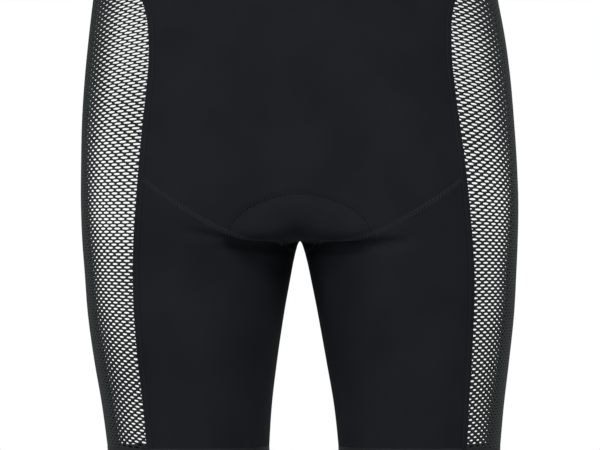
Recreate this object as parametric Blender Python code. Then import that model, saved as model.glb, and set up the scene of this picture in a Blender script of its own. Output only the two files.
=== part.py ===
"""Cycling shorts as worn, filled out with no wearer inside.

Metres, +Z up.  The front faces -Y and the wearer's left is +X.  The origin is the
middle of the waist opening, level with its upper edge.  Every panel is a patch of
one surface, the form of the shorts, so that neighbours meet along the same seam.
"""
import math

import bpy
import numpy as np

GARMENT = "cycling_shorts"

# Heights, from the waist's upper edge down
WAIST_Z = 0.0
BAND_SEAM_Z = -0.026
CROTCH_Z = -0.2404
HEM_SEAM_Z = -0.4068
HEM_Z = -0.4380

# The form at each height: half the width, the reach to the front and to the back,
# the sideways lean of the middle, and half the space between the legs, which counts
# below the crotch and is measured before the crotch is rounded
BODY_COLUMNS = ("z", "side", "front", "back", "lean", "inner")
BODY = (
    (-0.4380, 0.1560, 0.0800, 0.0680, 0.0036, 0.0308),
    (-0.4092, 0.1592, 0.0840, 0.0720, 0.0032, 0.0293),
    (-0.3735, 0.1632, 0.0890, 0.0780, 0.0024, 0.0264),
    (-0.3370, 0.1685, 0.0940, 0.0850, 0.0014, 0.0214),
    (-0.3004, 0.1730, 0.0980, 0.0920, 0.0008, 0.0160),
    (-0.2639, 0.1754, 0.1020, 0.1000, 0.0004, 0.0106),
    (-0.2404, 0.1768, 0.1065, 0.1080, 0.0000, 0.0080),
    (-0.2103, 0.1776, 0.1110, 0.1180, -0.0003, 0.0080),
    (-0.1786, 0.1770, 0.1140, 0.1230, -0.0008, 0.0080),
    (-0.1421, 0.1754, 0.1145, 0.1210, -0.0016, 0.0080),
    (-0.1056, 0.1726, 0.1140, 0.1140, -0.0020, 0.0080),
    (-0.0771, 0.1693, 0.1125, 0.1060, -0.0025, 0.0080),
    (-0.0447, 0.1644, 0.1095, 0.0980, -0.0036, 0.0080),
    (0.0000, 0.1570, 0.1040, 0.0900, -0.0044, 0.0080),
)

# The height over which one oval section parts into two, and the crotch: its rounding,
# and over what height and how squarely the cloth turns under it, front and seat
HIP_BLEND = 0.150
CROTCH_ROUND = 0.0080
FRONT_TURN = 0.030
FRONT_TURN_POWER = 3.0
SEAT_TURN = 0.070
SEAT_TURN_POWER = 2.2
CREASE_ROUND = 0.0050
CREASE_START = 0.15

# The seam of the net side panels: its distance from the middle at each height.  Both
# nets sit a little towards the wearer's left, as the shorts are worn
SEAM_COLUMNS = ("z", "x")
SEAM = (
    (-0.4380, 0.1262),
    (-0.4052, 0.1280),
    (-0.3695, 0.1303),
    (-0.3370, 0.1332),
    (-0.3126, 0.1347),
    (-0.2883, 0.1359),
    (-0.2647, 0.1361),
    (-0.2428, 0.1352),
    (-0.2071, 0.1324),
    (-0.1778, 0.1298),
    (-0.1543, 0.1272),
    (-0.1234, 0.1235),
    (-0.0983, 0.1211),
    (-0.0771, 0.1207),
    (-0.0609, 0.1218),
    (-0.0447, 0.1261),
    (-0.0300, 0.1335),
    (0.0000, 0.1400),
)
SEAM_SHIFT = 0.0025
BACK_SEAM_INSET = 0.0020

# The slanting seam between the body and the leg: its height at each share of the
# way from the middle, under the crotch, out to the net's seam
SLANT_COLUMNS = ("share", "z")
SLANT = (
    (0.00, -0.2504),
    (0.12, -0.2468),
    (0.25, -0.2432),
    (0.375, -0.2400),
    (0.47, -0.2368),
    (0.58, -0.2318),
    (0.70, -0.2212),
    (0.84, -0.2066),
    (1.00, -0.1885),
)
# The height of the body's lowest rows of points, above that seam, at the crotch and
# from the pad's corner on, and how far out the pad's corner is
FLANGE_AT_CROTCH = 0.0100
FLANGE_AT_SIDE = 0.0040
PAD_SHARE = 0.58
# The leg's highest rows of points reach down past the crease under the body
CREASE_FOOT = 0.0060
CREASE_LEAST = 0.0050

# Cloth and pad.  In front the pad pushes the cloth out inside its stitched arch, from
# under the belly forward, and not on the leg
WALL = 0.0012
BAND_WALL = 0.0018
HALF_SEAM = 0.00018
PAD_GAP = 0.0006
PAD_EDGE_GAP = 0.0024
PAD_MIDDLE = 0.0045
PAD_EDGE = 0.0020
PAD_HALF_WIDTH = 0.0570
PAD_FOOT_Z = -0.2339
PAD_TOP_Z = -0.2022
PAD_BACK_TOP_Z = -0.1850
PAD_RISE = 0.0035
PAD_SLOPE = 0.30
PAD_ARCH_POWER = 1.75
PAD_FORWARD = 0.0600
PAD_OFF_LEG = 0.0030
PAD_ONTO_BODY = 0.0080

# Rims of neighbouring panels are split in two the same way, by this direction
RIM_SPLIT = (0.31, 0.17, 0.94)
SHARP_EDGE = math.radians(50)

# Steps of the patches
FRONT_STEPS = 12
NET_STEPS = 10
FLANGE_STEPS = 3
BODY_STEPS = 18
CREASE_STEPS = 5
LEG_STEPS = 10
BAND_STEPS = 2
BODY_CROWDING = 1.7
LEG_CROWDING = 1.15
# Steps over which a normal is measured, and what counts as the same height or point
NORMAL_ROUND = 0.0040
NORMAL_UP = 0.0030
SAME_HEIGHT = 1e-7
SAME_POINT = 1e-6

# Finishes: a colour, as linear values, and a roughness
LYCRA = ((0.013, 0.015, 0.018), 0.62)
NET = ((0.026, 0.033, 0.033), 0.70)
ELASTIC = ((0.010, 0.012, 0.014), 0.72)
FLEECE = ((0.050, 0.052, 0.056), 0.90)


def smooth(table, names, column):
    """A smooth function of a table's first column, through every row of another."""
    knots = np.array([row[0] for row in table])
    values = np.array([row[names.index(column)] for row in table])
    slopes = np.gradient(values, knots)

    def at(place):
        place = np.clip(place, knots[0], knots[-1])
        i = np.clip(np.searchsorted(knots, place) - 1, 0, len(knots) - 2)
        step = knots[i + 1] - knots[i]
        t = (place - knots[i]) / step
        start = (1 + 2 * t) * (1 - t) ** 2 * values[i] + t * (1 - t) ** 2 * step * slopes[i]
        end = t * t * (3 - 2 * t) * values[i + 1] - t * t * (1 - t) * step * slopes[i + 1]
        return start + end

    return at


SIDE = smooth(BODY, BODY_COLUMNS, "side")
FRONT = smooth(BODY, BODY_COLUMNS, "front")
BACK = smooth(BODY, BODY_COLUMNS, "back")
LEAN = smooth(BODY, BODY_COLUMNS, "lean")
INNER = smooth(BODY, BODY_COLUMNS, "inner")
SEAM_X = smooth(SEAM, SEAM_COLUMNS, "x")
SLANT_Z = smooth(SLANT, SLANT_COLUMNS, "z")


def ramp(value):
    """0 up to 0, 1 from 1 on, and an even swell between."""
    t = np.clip(value, 0.0, 1.0)
    return t * t * (3 - 2 * t)


def above_crotch(s, z):
    """The height above the crotch, with the crease between body and leg rounded."""
    height = z - CROTCH_Z
    soft = CREASE_ROUND * ramp(np.minimum(s, 2 - s) / CREASE_START) + 1e-9
    return np.where(np.abs(height) < soft, (height + soft) ** 2 / (4 * soft), np.maximum(height, 0.0))


def bridge(above, height, power):
    """How far the cloth spans from leg to leg: 0 at the crotch, 1 above its turn."""
    rise = np.clip(above / height, 0.0, 1.0)
    return (1 - (1 - rise) ** power) ** (1 / power)


def pad_swell(x, y, z):
    """How far the pad pushes the front out, between its stitched arch and the crotch."""
    up = np.clip(z - PAD_FOOT_Z, 0.0, None) / (PAD_TOP_Z - PAD_FOOT_Z)
    out = (x / PAD_HALF_WIDTH) ** PAD_ARCH_POWER + up**PAD_ARCH_POWER
    arch = ramp((1 - out ** (1 / PAD_ARCH_POWER)) / PAD_SLOPE)
    in_front = ramp(-y / PAD_FORWARD)
    above_leg = ramp((z - CROTCH_Z + PAD_OFF_LEG) / PAD_ONTO_BODY)
    return PAD_RISE * arch * in_front * above_leg


def limits(z):
    """The section's inner and outer ends at a height, before the crotch is rounded."""
    inner = np.where(z >= CROTCH_Z, CROTCH_ROUND, np.maximum(INNER(z), CROTCH_ROUND))
    return inner, np.hypot(SIDE(z), CROTCH_ROUND)


def form(s, z):
    """The outer face of the half at +X: s is 0 at the middle front, 1 at the side and
    2 at the middle back, or runs round the leg from its inside below the crotch."""
    inner, outer = limits(z)
    behind = s > 1
    parted = 1 - ramp((z - CROTCH_Z) / HIP_BLEND)
    half = (outer - inner) / (1 + parted)
    across = inner + (outer - inner) * np.sin(math.pi * s / 2) ** 2
    swing = np.clip((across - inner - half * parted) / half, -1.0, 1.0)
    above = above_crotch(s, z)
    at_seat = bridge(above, SEAT_TURN, SEAT_TURN_POWER)
    span = np.where(behind, at_seat, bridge(above, FRONT_TURN, FRONT_TURN_POWER))
    reach = np.sqrt(1 - swing**2)
    reach = np.where(swing < 0, 1 - (1 - reach) * (1 - span), reach)
    y = np.where(behind, BACK(z), -FRONT(z)) * reach
    x = np.sqrt(np.clip(across**2 - CROTCH_ROUND**2, 0.0, None))
    return np.stack((x, y - pad_swell(x, y, z), z + 0.0 * x), axis=-1)


def outward(s, z):
    """The unit normal of the form, level with the middle where the halves meet."""
    along = form(np.minimum(s + NORMAL_ROUND, 2.0), z) - form(np.maximum(s - NORMAL_ROUND, 0.0), z)
    up = form(s, z + NORMAL_UP) - form(s, z - NORMAL_UP)
    normal = np.cross(along, up)
    end = (np.abs(s - 1) > 1 - 1e-9)[..., None]
    middle = end & (z >= CROTCH_Z)[..., None]
    normal = np.where(middle, normal * (0.0, 1.0, 1.0), normal)
    normal = np.where(end & ~middle, normal * (1.0, 0.0, 1.0), normal)
    at_crotch = middle & (np.abs(z - CROTCH_Z) < SAME_HEIGHT)[..., None]
    normal = np.where(at_crotch, (0.0, 0.0, -1.0), normal)
    return normal / np.linalg.norm(normal, axis=-1, keepdims=True)


def seam_place(x, z):
    """The place round the front half where the form is x from the middle."""
    inner, outer = limits(z)
    share = np.clip((np.hypot(x, CROTCH_ROUND) - inner) / (outer - inner), 0.0, 1.0)
    return 2 / math.pi * np.arcsin(np.sqrt(share))


def front_seam(side, z):
    return seam_place(SEAM_X(z) + side * SEAM_SHIFT, z)


def back_seam(side, z):
    return 2 - seam_place(SEAM_X(z) + side * SEAM_SHIFT - BACK_SEAM_INSET, z)


def shares(steps):
    return np.linspace(0.0, 1.0, steps + 1)


def flange(share):
    """The height of a body panel's lowest rows at a share of the way out."""
    return FLANGE_AT_CROTCH + (FLANGE_AT_SIDE - FLANGE_AT_CROTCH) * ramp(share / PAD_SHARE)


def body_rows(share):
    """Heights of a body panel's rows, bottom to top, at a share of the way out."""
    low = SLANT_Z(share) + flange(share) * shares(FLANGE_STEPS)
    high = low[-1] + (BAND_SEAM_Z - low[-1]) * shares(BODY_STEPS) ** BODY_CROWDING
    return np.concatenate((low, high[1:]))


def leg_rows(share):
    """Heights of a leg panel's rows, top to bottom, at a share of the way out."""
    top = SLANT_Z(share)
    crease = min(top - CREASE_LEAST, CROTCH_Z - CREASE_FOOT)
    high = top + (crease - top) * shares(CREASE_STEPS)
    low = crease + (HEM_SEAM_Z - crease) * shares(LEG_STEPS) ** LEG_CROWDING
    return np.concatenate((high, low[1:]))


def place(side, share, z, behind):
    """Round the form by a share of the way from the middle to the net's seam."""
    if behind:
        return 2 - share * (2 - back_seam(side, z))
    return share * front_seam(side, z)


def body_patch(side, behind):
    """Half of the front or the back, from under the crotch up to the waistband."""
    columns = shares(FRONT_STEPS)
    z = np.stack([body_rows(share) for share in columns], axis=1)
    return place(side, columns[None, :], z, behind), z


def leg_patch(side):
    """A leg's cloth, from the net's front seam round the inside to its back seam."""
    out = shares(FRONT_STEPS)
    halves = [(share, False) for share in out[::-1]] + [(share, True) for share in out[1:]]
    columns = []
    for share, behind in halves:
        z = leg_rows(share)
        columns.append((place(side, share, z, behind), z))
    s, z = (np.stack(part, axis=1) for part in zip(*columns))
    return s, z


def net_patch(side):
    """The side panel, from its front seam round to its back seam."""
    rows = np.concatenate((leg_rows(1.0)[::-1], body_rows(1.0)[1:]))
    z = rows[:, None] + 0.0 * shares(NET_STEPS)[None, :]
    start = front_seam(side, z)
    return start + (back_seam(side, z) - start) * shares(NET_STEPS)[None, :], z


def ring_patch(side, low, high):
    """A band round the form between two heights, in the panels' own columns."""
    rows = low + (high - low) * shares(BAND_STEPS)
    parts = []
    for behind in (False, True):
        out = shares(FRONT_STEPS)
        z = rows[:, None] + 0.0 * out[None, :]
        parts.append(place(side, out[None, :], z, behind))
    z = rows[:, None] + 0.0 * shares(NET_STEPS)[None, :]
    net = parts[0][:, -1:] + (parts[1][:, -1:] - parts[0][:, -1:]) * shares(NET_STEPS)[None, :]
    s = np.concatenate((parts[0], net[:, 1:-1], parts[1][:, ::-1]), axis=1)
    return s, rows[:, None] + 0.0 * s


def pad_top(share, behind):
    """The upper edge of the pad at a share of the way out."""
    peak = PAD_BACK_TOP_Z if behind else PAD_TOP_Z
    foot = SLANT_Z(share) + FLANGE_AT_SIDE
    lift = math.sqrt(max(0.0, 1 - (share / PAD_SHARE) ** 2))
    return foot + (peak - foot) * lift


def pad_patch(side, behind):
    """A quarter of the pad, on the body panel's own points up to its arch, and how
    full it is at each."""
    out = shares(FRONT_STEPS)
    out = out[: np.searchsorted(out, PAD_SHARE) + 1]
    z = np.stack([np.minimum(body_rows(share), pad_top(share, behind)) for share in out], axis=1)
    z = z[: np.searchsorted(z[:, 0], z[-1, 0]) + 1]
    below = (z - z[0]) / flange(out)
    above = (z[-1] - z) / np.maximum(z[-1] - z[0] - flange(out), WALL)
    fill = np.sin(math.pi / 2 * np.clip(np.minimum(below, above), 0.0, 1.0)) * (1 - (out / out[-1]) ** 4)
    return place(side, out[None, :], z, behind), z, fill


def draw_in(points, z, seams):
    """Moves a patch's edges in from its seams, half a seam's gap square to each."""
    towards = {
        "low": ((0,), (1,)),
        "high": ((-1,), (-2,)),
        "first": ((slice(None), 0), (slice(None), 1)),
        "last": ((slice(None), -1), (slice(None), -2)),
    }
    moved = points.copy()
    for seam in seams:
        edge, neighbour = towards["first" if seam == "crotch" else seam]
        along = np.gradient(points[edge], axis=0)
        along = along / np.linalg.norm(along, axis=-1, keepdims=True)
        step = points[neighbour] - points[edge]
        step = step - np.sum(step * along, axis=-1, keepdims=True) * along
        step = step / np.linalg.norm(step, axis=-1, keepdims=True) * HALF_SEAM
        if seam == "crotch":
            sewn = (z[edge] <= CROTCH_Z + SAME_HEIGHT)[:, None]
            at_crotch = (np.abs(z[edge] - CROTCH_Z) < SAME_HEIGHT)[:, None]
            step = np.where(sewn, step, 0.0)
            step = np.where(at_crotch, step * (0.0, 1.0, 1.0), step)
        moved[edge] = moved[edge] + step
    return moved


def patch_points(side, s, z, depth, seams):
    """The patch's points, a depth in from the outer face, on its own side."""
    depth = np.broadcast_to(depth, s.shape)[..., None]
    half = draw_in(form(s, z) - outward(s, z) * depth, z, seams)
    return half * (side, 1.0, 1.0) + np.stack((LEAN(z), 0.0 * z, 0.0 * z), axis=-1)


def plain_material(name, colour, roughness):
    material = bpy.data.materials.new(name)
    material.use_nodes = True
    shader = material.node_tree.nodes["Principled BSDF"]
    shader.inputs["Base Color"].default_value = (*colour, 1.0)
    shader.inputs["Roughness"].default_value = roughness
    shader.inputs["Metallic"].default_value = 0.0
    material.diffuse_color = (*colour, 1.0)
    return material


def facing_out(outer, inner, corners):
    """The corners of a face, run so that it faces out of the cloth."""
    a, b, c = (outer[corner] for corner in corners)
    out_of_cloth = sum(outer[corner] - inner[corner] for corner in corners)
    towards = float(np.dot(np.cross(b - a, c - a), out_of_cloth))
    return corners if towards > 0 else corners[::-1]


def two_skins(patches, outer_depth, inner_depth):
    """Points of the outer and inner skin, shared where patches meet, and the outer
    skin's faces.  A depth is one number, or for each patch one at every point."""
    outer = []
    inner = []
    faces = []
    known = {}
    for index, (side, s, z, seams) in enumerate(patches):
        near = outer_depth[index] if isinstance(outer_depth, list) else outer_depth
        far = inner_depth[index] if isinstance(inner_depth, list) else inner_depth
        skin = patch_points(side, s, z, near, seams)
        lining = patch_points(side, s, z, far, seams)
        number = np.empty(s.shape, dtype=int)
        for cell in np.ndindex(s.shape):
            key = tuple(round(float(value) / SAME_POINT) for value in skin[cell])
            if key not in known:
                known[key] = len(outer)
                outer.append(skin[cell])
                inner.append(lining[cell])
            number[cell] = known[key]
        for row, column in np.ndindex(s.shape[0] - 1, s.shape[1] - 1):
            here, beside = number[row, column], number[row, column + 1]
            above, across = number[row + 1, column], number[row + 1, column + 1]
            for corners in ([here, beside, across], [here, across, above]):
                if len(set(corners)) == 3:
                    faces.append(facing_out(outer, inner, corners))
    return outer, inner, faces


def rim_faces(outer, faces):
    """The faces that join the two skins round their open edges."""
    edges = {(face[i - 1], face[i]) for face in faces for i in range(len(face))}
    count = len(outer)
    rims = []
    for a, b in sorted(edges):
        if (b, a) in edges:
            continue
        if np.dot(outer[a] - outer[b], RIM_SPLIT) > 0:
            rims += [(b, a, a + count), (b, a + count, b + count)]
        else:
            rims += [(b, a, b + count), (a, a + count, b + count)]
    return rims


def wall(name, patches, outer_depth, inner_depth, finish, collection):
    """One closed piece of cloth, lofted over patches that share points at their joins.

    Each patch is (side, s, z, seams), and finish is a colour and a roughness.
    """
    outer, inner, faces = two_skins(patches, outer_depth, inner_depth)
    backs = [[corner + len(outer) for corner in reversed(face)] for face in faces]
    points = [tuple(map(float, point)) for point in outer + inner]
    mesh = bpy.data.meshes.new(name)
    mesh.from_pydata(points, [], faces + backs + rim_faces(outer, faces))
    mesh.validate()
    mesh.shade_smooth()
    mesh.set_sharp_from_angle(angle=SHARP_EDGE)
    mesh.materials.append(plain_material(f"{name}_cloth", *finish))
    piece = bpy.data.objects.new(name, mesh)
    collection.objects.link(piece)
    return piece


def clear_scene():
    for thing in list(bpy.data.objects):
        bpy.data.objects.remove(thing, do_unlink=True)


def build_shorts():
    clear_scene()
    collection = bpy.data.collections.new(GARMENT)
    bpy.context.scene.collection.children.link(collection)
    sides = {"left": 1, "right": -1}
    all_round = ("first", "last", "low", "high")

    for name, behind in (("front", False), ("back", True)):
        seams = ("last", "low", "high", "crotch")
        halves = [(side, *body_patch(side, behind), seams) for side in (1, -1)]
        wall(name, halves, 0.0, WALL, LYCRA, collection)
    for name, side in sides.items():
        leg = (side, *leg_patch(side), all_round)
        net = (side, *net_patch(side), all_round)
        hem = (side, *ring_patch(side, HEM_Z, HEM_SEAM_Z), ("high",))
        wall(f"leg_{name}", [leg], 0.0, WALL, LYCRA, collection)
        wall(f"net_{name}", [net], 0.0, WALL, NET, collection)
        wall(f"hem_{name}", [hem], 0.0, BAND_WALL, ELASTIC, collection)
    bands = [(side, *ring_patch(side, BAND_SEAM_Z, WAIST_Z), ("low",)) for side in (1, -1)]
    wall("waistband", bands, 0.0, BAND_WALL, ELASTIC, collection)

    quarters = []
    faces = []
    backs = []
    for side in (1, -1):
        for behind in (False, True):
            s, z, fill = pad_patch(side, behind)
            quarters.append((side, s, z, ()))
            faces.append(WALL + PAD_EDGE_GAP + (PAD_GAP - PAD_EDGE_GAP) * fill)
            backs.append(faces[-1] + PAD_EDGE + (PAD_MIDDLE - PAD_EDGE) * fill)
    wall("seat_pad", quarters, faces, backs, FLEECE, collection)


build_shorts()
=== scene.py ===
"""The finished look of a pair of cycling shorts, worn and filled out, with no wearer.

Metres, +Z up, the front faces -Y, the wearer's left is +X, and the origin is the
middle of the waist opening, level with its upper edge.
"""

import math

import bpy
import numpy as np
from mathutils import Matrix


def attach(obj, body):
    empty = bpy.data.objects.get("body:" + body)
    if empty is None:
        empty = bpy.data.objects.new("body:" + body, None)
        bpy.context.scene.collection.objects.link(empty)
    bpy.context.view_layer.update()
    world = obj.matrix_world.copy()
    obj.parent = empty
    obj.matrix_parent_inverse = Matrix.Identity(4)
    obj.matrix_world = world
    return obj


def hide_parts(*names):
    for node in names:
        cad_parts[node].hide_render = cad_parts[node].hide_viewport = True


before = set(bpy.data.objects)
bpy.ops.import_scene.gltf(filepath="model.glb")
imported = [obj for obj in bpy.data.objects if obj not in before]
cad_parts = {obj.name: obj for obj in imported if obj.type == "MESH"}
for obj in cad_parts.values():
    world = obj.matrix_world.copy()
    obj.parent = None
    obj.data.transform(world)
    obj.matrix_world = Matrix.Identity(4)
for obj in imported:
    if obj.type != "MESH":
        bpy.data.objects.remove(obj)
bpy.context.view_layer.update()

# The front: one piece of smooth black knit, nylon with elastane, cut with its fold on
# the middle.  It is sewn edge to edge with the side nets, the legs and, under the
# crotch, the back, and the pad behind swells it a little
WAIST_Z = 0.0
BAND_SEAM_Z = -0.026
CROTCH_Z = -0.2404
HEM_SEAM_Z = -0.4068
HEM_Z = -0.4380
BODY_COLUMNS = ("z", "side", "front", "back", "lean", "inner")
BODY = (
    (-0.4380, 0.1560, 0.0800, 0.0680, 0.0036, 0.0308),
    (-0.4092, 0.1592, 0.0840, 0.0720, 0.0032, 0.0293),
    (-0.3735, 0.1632, 0.0890, 0.0780, 0.0024, 0.0264),
    (-0.3370, 0.1685, 0.0940, 0.0850, 0.0014, 0.0214),
    (-0.3004, 0.1730, 0.0980, 0.0920, 0.0008, 0.0160),
    (-0.2639, 0.1754, 0.1020, 0.1000, 0.0004, 0.0106),
    (-0.2404, 0.1768, 0.1065, 0.1080, 0.0000, 0.0080),
    (-0.2103, 0.1776, 0.1110, 0.1180, -0.0003, 0.0080),
    (-0.1786, 0.1770, 0.1140, 0.1230, -0.0008, 0.0080),
    (-0.1421, 0.1754, 0.1145, 0.1210, -0.0016, 0.0080),
    (-0.1056, 0.1726, 0.1140, 0.1140, -0.0020, 0.0080),
    (-0.0771, 0.1693, 0.1125, 0.1060, -0.0025, 0.0080),
    (-0.0447, 0.1644, 0.1095, 0.0980, -0.0036, 0.0080),
    (0.0000, 0.1570, 0.1040, 0.0900, -0.0044, 0.0080),
)
HIP_BLEND = 0.150
CROTCH_ROUND = 0.0080
FRONT_TURN = 0.030
FRONT_TURN_POWER = 3.0
SEAT_TURN = 0.070
SEAT_TURN_POWER = 2.2
CREASE_ROUND = 0.0050
CREASE_START = 0.15
SEAM_COLUMNS = ("z", "x")
SEAM = (
    (-0.4380, 0.1262),
    (-0.4052, 0.1280),
    (-0.3695, 0.1303),
    (-0.3370, 0.1332),
    (-0.3126, 0.1347),
    (-0.2883, 0.1359),
    (-0.2647, 0.1361),
    (-0.2428, 0.1352),
    (-0.2071, 0.1324),
    (-0.1778, 0.1298),
    (-0.1543, 0.1272),
    (-0.1234, 0.1235),
    (-0.0983, 0.1211),
    (-0.0771, 0.1207),
    (-0.0609, 0.1218),
    (-0.0447, 0.1261),
    (-0.0300, 0.1335),
    (0.0000, 0.1400),
)
SEAM_SHIFT = 0.0025
BACK_SEAM_INSET = 0.0020
SLANT_COLUMNS = ("share", "z")
SLANT = (
    (0.00, -0.2504),
    (0.12, -0.2468),
    (0.25, -0.2432),
    (0.375, -0.2400),
    (0.47, -0.2368),
    (0.58, -0.2318),
    (0.70, -0.2212),
    (0.84, -0.2066),
    (1.00, -0.1885),
)
PAD_HALF_WIDTH = 0.0570
PAD_FOOT_Z = -0.2339
PAD_TOP_Z = -0.2022
PAD_RISE = 0.0035
PAD_SLOPE = 0.30
PAD_ARCH_POWER = 1.75
PAD_FORWARD = 0.0600
PAD_OFF_LEG = 0.0030
PAD_ONTO_BODY = 0.0080
ARCH_GROOVE = 0.0009
ARCH_GROOVE_WIDTH = 0.050
NORMAL_ROUND = 0.0040
NORMAL_UP = 0.0030
SAME_PLACE = 1e-9
SAME_HEIGHT = 1e-7
SAME_POINT = 2e-5
SHARP_EDGE = math.radians(50)
CLOTH = 0.0008
FRONT_COLUMNS = 84
BODY_ROWS = 104
BODY_CROWDING = 1.6
SIDES = {"left": 1, "right": -1}


def smooth(table, names, column):
    """A smooth function of a table's first column, through every row of another."""
    knots = np.array([row[0] for row in table])
    values = np.array([row[names.index(column)] for row in table])
    slopes = np.gradient(values, knots)

    def at(place):
        place = np.clip(place, knots[0], knots[-1])
        i = np.clip(np.searchsorted(knots, place) - 1, 0, len(knots) - 2)
        step = knots[i + 1] - knots[i]
        t = (place - knots[i]) / step
        start = (1 + 2 * t) * (1 - t) ** 2 * values[i] + t * (1 - t) ** 2 * step * slopes[i]
        end = t * t * (3 - 2 * t) * values[i + 1] - t * t * (1 - t) * step * slopes[i + 1]
        return start + end

    return at


half_width = smooth(BODY, BODY_COLUMNS, "side")
front_reach = smooth(BODY, BODY_COLUMNS, "front")
back_reach = smooth(BODY, BODY_COLUMNS, "back")
lean = smooth(BODY, BODY_COLUMNS, "lean")
leg_space = smooth(BODY, BODY_COLUMNS, "inner")
seam_x = smooth(SEAM, SEAM_COLUMNS, "x")
slant_z = smooth(SLANT, SLANT_COLUMNS, "z")


def ramp(value):
    """0 up to 0, 1 from 1 on, and an even swell between."""
    t = np.clip(value, 0.0, 1.0)
    return t * t * (3 - 2 * t)


def above_crotch(s, z):
    """The height above the crotch, with the crease between body and leg rounded."""
    height = z - CROTCH_Z
    soft = CREASE_ROUND * ramp(np.minimum(s, 2 - s) / CREASE_START) + SAME_PLACE
    return np.where(np.abs(height) < soft, (height + soft) ** 2 / (4 * soft), np.maximum(height, 0.0))


def bridge(above, height, power):
    """How far the cloth spans from leg to leg: 0 at the crotch, 1 above its turn."""
    rise = np.clip(above / height, 0.0, 1.0)
    return (1 - (1 - rise) ** power) ** (1 / power)


def arch_share(x, z):
    """0 in the middle of the pad's foot, 1 on its stitched arch and more outside it."""
    up = np.clip(z - PAD_FOOT_Z, 0.0, None) / (PAD_TOP_Z - PAD_FOOT_Z)
    out = (np.abs(x) / PAD_HALF_WIDTH) ** PAD_ARCH_POWER + up**PAD_ARCH_POWER
    return out ** (1 / PAD_ARCH_POWER)


def pad_swell(x, y, z):
    """How far the pad pushes the front out, between its stitched arch and the crotch."""
    arch = ramp((1 - arch_share(x, z)) / PAD_SLOPE)
    in_front = ramp(-y / PAD_FORWARD)
    above_leg = ramp((z - CROTCH_Z + PAD_OFF_LEG) / PAD_ONTO_BODY)
    return PAD_RISE * arch * in_front * above_leg


def limits(z):
    """The section's inner and outer ends at a height, before the crotch is rounded."""
    inner = np.where(z >= CROTCH_Z, CROTCH_ROUND, np.maximum(leg_space(z), CROTCH_ROUND))
    return inner, np.hypot(half_width(z), CROTCH_ROUND)


def form(s, z):
    """The outer face of the half at +X: s is 0 at the middle front, 1 at the side and
    2 at the middle back, or runs round the leg from its inside below the crotch."""
    inner, outer = limits(z)
    behind = s > 1
    parted = 1 - ramp((z - CROTCH_Z) / HIP_BLEND)
    half = (outer - inner) / (1 + parted)
    across = inner + (outer - inner) * np.sin(math.pi * s / 2) ** 2
    swing = np.clip((across - inner - half * parted) / half, -1.0, 1.0)
    above = above_crotch(s, z)
    at_seat = bridge(above, SEAT_TURN, SEAT_TURN_POWER)
    span = np.where(behind, at_seat, bridge(above, FRONT_TURN, FRONT_TURN_POWER))
    reach = np.sqrt(1 - swing**2)
    reach = np.where(swing < 0, 1 - (1 - reach) * (1 - span), reach)
    y = np.where(behind, back_reach(z), -front_reach(z)) * reach
    x = np.sqrt(np.clip(across**2 - CROTCH_ROUND**2, 0.0, None))
    return np.stack((x, y - pad_swell(x, y, z), z + 0.0 * x), axis=-1)


def outward(s, z):
    """The unit normal of the form, level with the middle where the halves meet."""
    along = form(np.minimum(s + NORMAL_ROUND, 2.0), z) - form(np.maximum(s - NORMAL_ROUND, 0.0), z)
    up = form(s, z + NORMAL_UP) - form(s, z - NORMAL_UP)
    normal = np.cross(along, up)
    end = (np.abs(s - 1) > 1 - SAME_PLACE)[..., None]
    middle = end & (z >= CROTCH_Z)[..., None]
    normal = np.where(middle, normal * (0.0, 1.0, 1.0), normal)
    normal = np.where(end & ~middle, normal * (1.0, 0.0, 1.0), normal)
    at_crotch = middle & (np.abs(z - CROTCH_Z) < SAME_HEIGHT)[..., None]
    normal = np.where(at_crotch, (0.0, 0.0, -1.0), normal)
    return normal / np.linalg.norm(normal, axis=-1, keepdims=True)


def seam_place(x, z):
    """The place round the front half where the form is x from the middle."""
    inner, outer = limits(z)
    share = np.clip((np.hypot(x, CROTCH_ROUND) - inner) / (outer - inner), 0.0, 1.0)
    return 2 / math.pi * np.arcsin(np.sqrt(share))


def front_seam(side, z):
    return seam_place(seam_x(z) + side * SEAM_SHIFT, z)


def back_seam(side, z):
    return 2 - seam_place(seam_x(z) + side * SEAM_SHIFT - BACK_SEAM_INSET, z)


def on_form(side, s, z, raised=0.0):
    """Points on the form, raised off its outer face, on their own side of the body."""
    half = form(s, z) + outward(s, z) * np.asarray(raised)[..., None]
    return half * (side, 1.0, 1.0) + np.stack((lean(z), 0.0 * z, 0.0 * z), axis=-1)


def flat_grid(name, columns, rows):
    """A primitive grid and the places of its points, 0 to 1 across and up."""
    bpy.ops.object.select_all(action="DESELECT")
    bpy.ops.mesh.primitive_grid_add(x_subdivisions=columns, y_subdivisions=rows, size=1.0)
    piece = bpy.context.object
    piece.name = name
    piece.data.name = name
    flat = np.empty(3 * len(piece.data.vertices))
    piece.data.vertices.foreach_get("co", flat)
    flat = flat.reshape(-1, 3)
    return piece, np.clip(flat[:, 0] + 0.5, 0.0, 1.0), np.clip(flat[:, 1] + 0.5, 0.0, 1.0)


def move_points(piece, points):
    piece.data.vertices.foreach_set("co", np.asarray(points, dtype=float).ravel())
    piece.data.update()


def edit(piece, *steps):
    """Runs edit-mode steps on all of a piece, each an operator and its settings."""
    bpy.ops.object.select_all(action="DESELECT")
    piece.select_set(True)
    bpy.context.view_layer.objects.active = piece
    bpy.ops.object.mode_set(mode="EDIT")
    bpy.ops.mesh.select_all(action="SELECT")
    for operator, settings in steps:
        operator(**settings)
    bpy.ops.object.mode_set(mode="OBJECT")


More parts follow.
